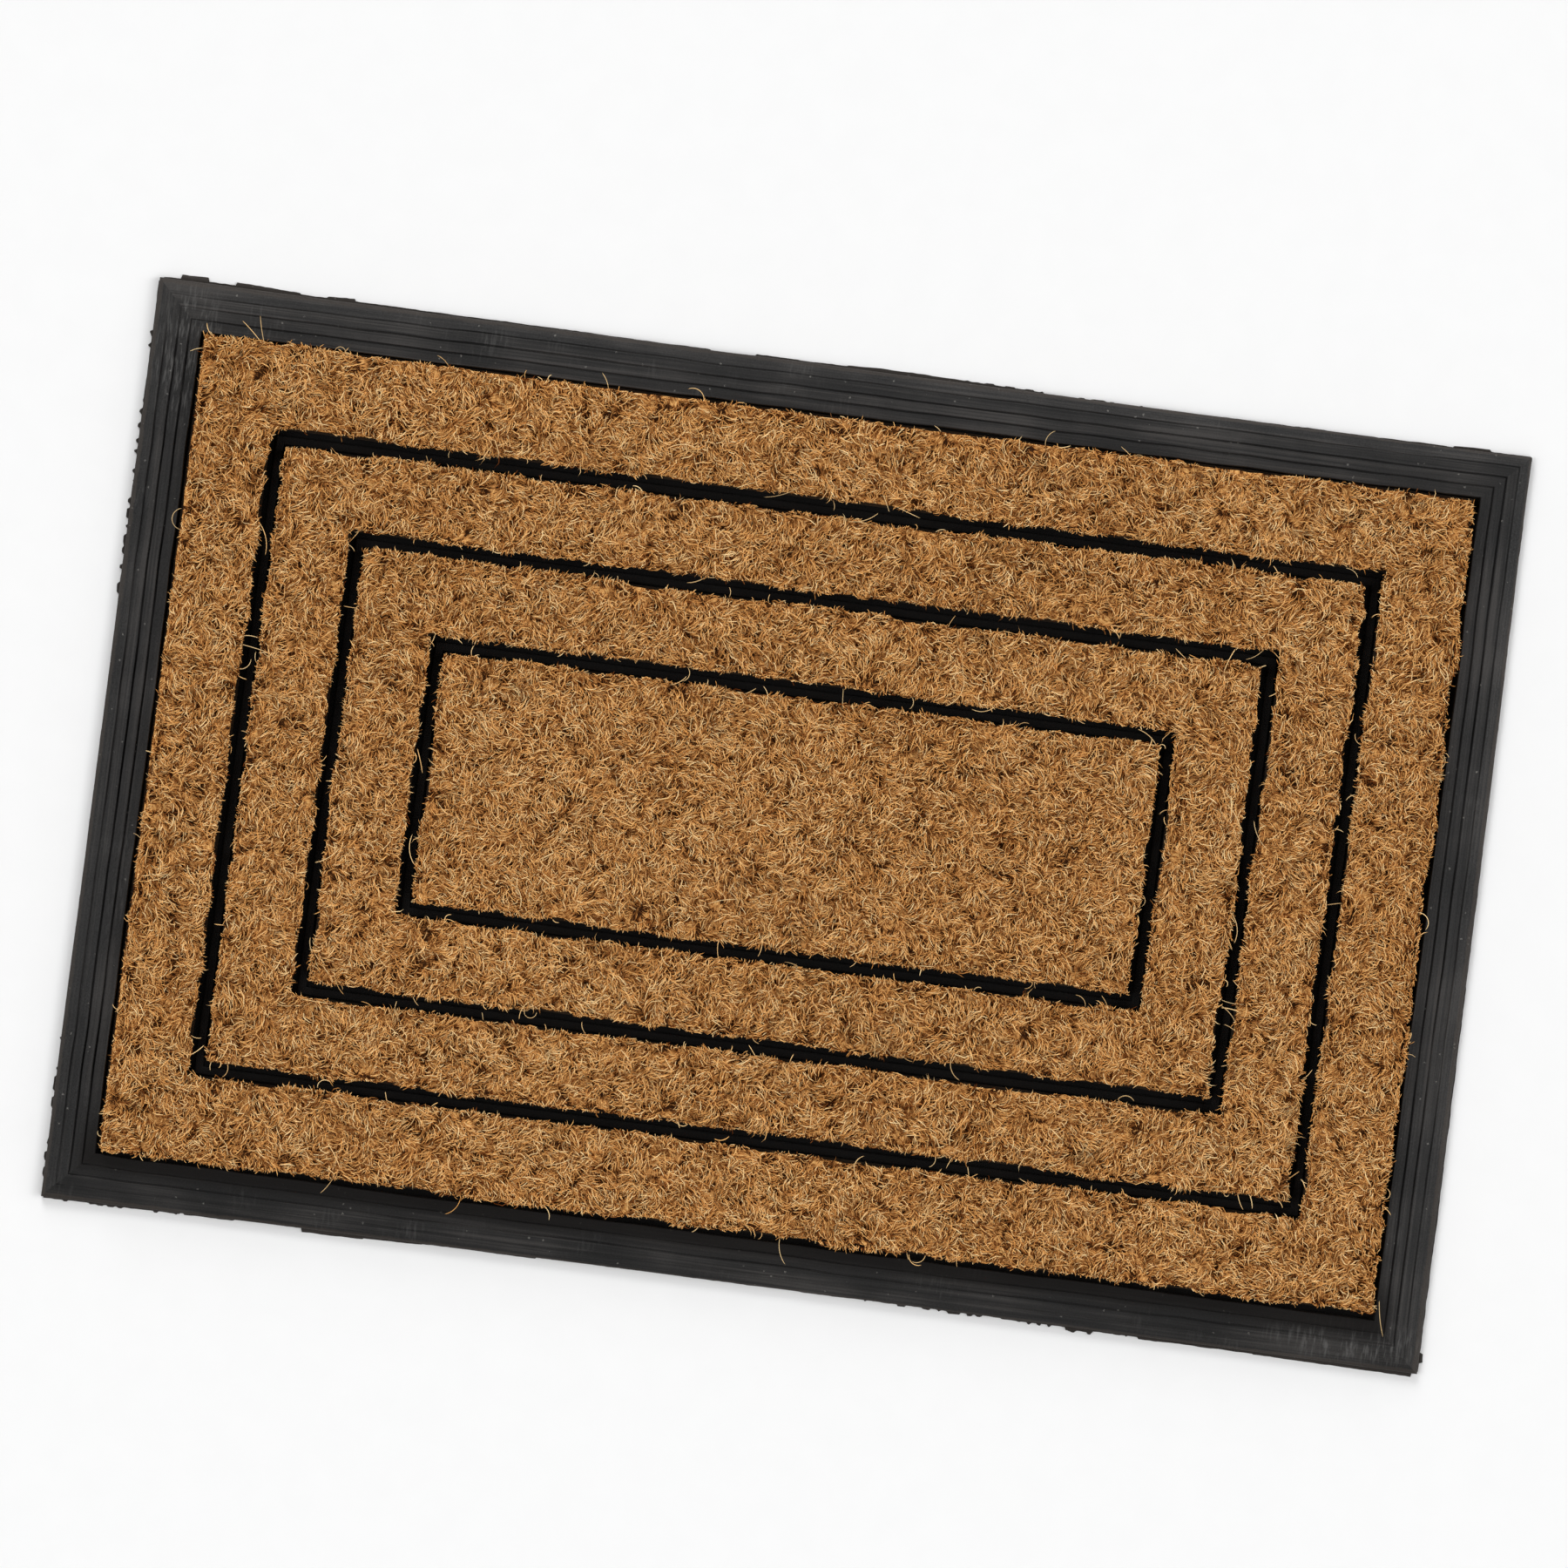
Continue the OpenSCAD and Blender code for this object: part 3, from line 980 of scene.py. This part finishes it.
def pile(sheet, name, material):
    """All fibres of one insert, dealt going once round the mat into pieces small enough to export whole."""
    brush = Brush(sheet, name + "_pile")
    path = brush.paths()
    radii = brush.radii()
    tint, ash = brush.colours()
    roll = brush.rng.uniform(0, 2 * math.pi, brush.count)
    order = np.argsort(np.arctan2(path[:, 0, 1] / 2.0, path[:, 0, 0] / 3.0), kind="stable")
    # Painted shade: each fibre is darker towards its root, and paler at its tip, as sun-bleached coir is.
    along = np.repeat(FIBRE_SHADE_AND_TINT, [1] + [3] * len(FIBRE_TAPER) + [1])
    pieces = []
    for number, chosen in enumerate(np.array_split(order, math.ceil(len(order) / FIBRES_PER_PIECE)), 1):
        vertices, faces, per_fibre = tubes(path[chosen], radii[chosen], roll[chosen])
        shade = (tint[chosen][:, None] + along[None, :]).reshape(-1)
        values = {"tint": shade, "ash": np.repeat(ash[chosen], per_fibre)}
        pieces.append(mesh_object(f"{name}_tufts_{number}", vertices, faces, material, values=values))
    return pieces


def edge_hairs(rng, node):
    """Rows like those of STRAYS for short hairs that stick out of an insert's cut faces."""
    outline = Outline(node)
    x, y = outline.walk(rng, HAIRS_PER_MM).T
    away = outline.depth(x, y)[1]
    count = len(x)
    heading = np.degrees(np.arctan2(away[:, 1], away[:, 0]) + rng.normal(0, 0.7, count))
    length = 3 + np.minimum(rng.exponential(2.2, count), 7)
    curl = rng.normal(0, 1.5, count)
    return np.column_stack([x, y, heading, length, curl, rng.uniform(12.3, 13.2, count)])


def loose_fibres(material):
    """Long pale fibres that came loose: some lie over the pile, some loop out over the rubber."""
    rng = np.random.default_rng(17)
    count = LOOSE_FIBRES
    scattered = np.column_stack([rng.uniform(-276, 276, count), rng.uniform(-176, 176, count),
                                 rng.uniform(0, 360, count), rng.uniform(6, 15, count),
                                 rng.normal(0, 1.3, count), rng.uniform(13.2, 14.2, count)])
    hairs = [edge_hairs(rng, insert + "_pile") for insert in INSERTS]
    rows = np.concatenate([np.array(STRAYS, float), scattered, *hairs])
    x, y, heading, length, curl, height = rows.T
    shares = np.linspace(0, 1, 17)
    bearing = np.radians(heading)[:, None] + curl[:, None] * shares[None, :]
    step = (length / (len(shares) - 1))[:, None]
    across = np.cumsum(np.cos(bearing) * step, axis=1)
    along = np.cumsum(np.sin(bearing) * step, axis=1)
    arch = np.sin(math.pi * shares)[None, :] * rng.uniform(0.2, 1.2, len(rows))[:, None]
    sink = 1.6 * (1 - shares[None, :]) ** 6
    path = np.stack([x[:, None] + across, y[:, None] + along, height[:, None] + arch - sink], axis=-1)
    taper = np.where(shares < 0.8, 1.0, 1.0 - 2.5 * (shares - 0.8))[1:-1]
    radii = rng.uniform(0.13, 0.22, len(rows))[:, None] * taper[None, :]
    vertices, faces, per_fibre = tubes(path, radii, rng.uniform(0, 2 * math.pi, len(rows)))
    values = {"tint": np.repeat(rng.normal(0.86, 0.12, len(rows)), per_fibre),
              "ash": np.repeat(rng.choice([0.0, 0.0, 0.35], len(rows)), per_fibre)}
    return mesh_object("loose_fibres", vertices, faces, material, values=values)


def husk_chips(material):
    """Flat dark chips of coconut husk caught among the fibres."""
    x, y, heading, length = np.array(CHIPS, float).T
    shares = np.array([0.0, 0.18, 0.7, 1.0])
    travel = length[:, None] * (shares[None, :] - 0.5)
    bearing = np.radians(heading)[:, None] + 0.3 * shares[None, :]
    height = np.broadcast_to(CHIP_TOP - 0.1 + 0.5 * shares[None, :], travel.shape)
    place_x = x[:, None] + travel * np.cos(bearing)
    place_y = y[:, None] + travel * np.sin(bearing)
    path = np.stack([place_x, place_y, height], axis=-1)
    radii = length[:, None] * np.array([[0.34, 0.26]])
    vertices, faces, _ = tubes(path, radii, np.full(len(x), math.pi / 2))
    vertices[:, 2] = CHIP_TOP + 0.45 * (vertices[:, 2] - CHIP_TOP)
    values = {"tint": np.full(len(vertices), 0.22), "ash": np.full(len(vertices), 0.55)}
    return mesh_object("husk_chips", vertices, faces, material, 30, values)


# ---- studio

def add_camera():
    camera = bpy.data.objects.new("camera", bpy.data.cameras.new("camera"))
    camera.data.lens = VIEW_LENS
    camera.data.clip_start = 0.01
    camera.data.clip_end = 100
    distance = VIEW_WIDTH * VIEW_LENS / camera.data.sensor_width
    camera.location = Vector((*VIEW_CENTRE, distance)) * MM
    camera.rotation_euler = (0, 0, VIEW_TURN)
    bpy.context.scene.collection.objects.link(camera)
    bpy.context.scene.camera = camera


def add_window(name, azimuth, elevation, power):
    """Soft even daylight from one direction. Azimuth 0 is the picture's top, 90 its left."""
    light = bpy.data.lights.new(name, "SUN")
    light.energy = power
    light.angle = WINDOW_WIDTH
    lamp = bpy.data.objects.new(name, light)
    turn = VIEW_TURN + math.radians(azimuth)
    level = math.cos(math.radians(elevation))
    towards = Vector((-math.sin(turn) * level, math.cos(turn) * level, math.sin(math.radians(elevation))))
    lamp.rotation_euler = (-towards).to_track_quat("-Z", "Y").to_euler()
    bpy.context.scene.collection.objects.link(lamp)


def add_world():
    """Bright below and round the horizon, and nearly black overhead."""
    n = Nodes(bpy.data.worlds.new("studio"))
    height = n.split(n.add("TexCoord").outputs["Generated"])[2]
    colour = n.ramp(height, [(0.30, (0.9, 0.9, 0.9)), (0.70, (0.03, 0.03, 0.03))])
    n.feed(n.tree.nodes["Background"].inputs["Color"], colour)
    bpy.context.scene.world = n.owner


def add_floor():
    corners = FLOOR_SIDE / 2 * np.array([[-1, -1, 0], [1, -1, 0], [1, 1, 0], [-1, 1, 0]])
    mesh_object("floor", corners, [np.array([[0, 1, 2, 3]])], floor_material())


def add_studio():
    """Low soft light from all round, most of it from behind and from the right, and little from above."""
    bpy.context.scene.view_settings.view_transform = "Standard"
    add_world()
    for window in WINDOWS:
        add_window(*window)
    add_floor()


# ---- the mat

def add_insert(sheet, insert, bumps):
    """One insert's pile, its core and its backing, which is a sheet cut to the CAD node's size."""
    tufts = pile(sheet, insert, coir)
    tufts.append(core(insert, dark_coir, bumps))
    for piece in tufts:
        add_piece(piece, "coir_pile", insert + "_pile")
    layer = add_piece(backing(insert, cloth), "coir_backing", insert + "_backing")
    outer, hole = half_sizes(insert + "_backing")
    width, length = 2 * outer[1] * MM, 2 * outer[0] * MM
    area = width * length
    if has_hole(outer, hole):
        area -= 4 * hole[0] * hole[1] * MM * MM


add_camera()
add_studio()

rubber = rubber_material()
coir = coir_material()
dark_coir = core_material()
cloth = shade_dark_cloth_material()

add_piece(rubber_tray(rubber), "black_rubber", "rubber_tray")
for side in FLASH:
    add_piece(flash(side, rubber), "black_rubber", "rubber_tray")
tufted_sheet = Sheet()
core_bumps = value_noise(np.random.default_rng(3), 5.0)
for insert in INSERTS:
    add_insert(tufted_sheet, insert, core_bumps)
piles = [insert + "_pile" for insert in INSERTS]
add_piece(loose_fibres(coir), "coir_pile", *piles)
add_piece(husk_chips(coir), "coir_pile", *piles)
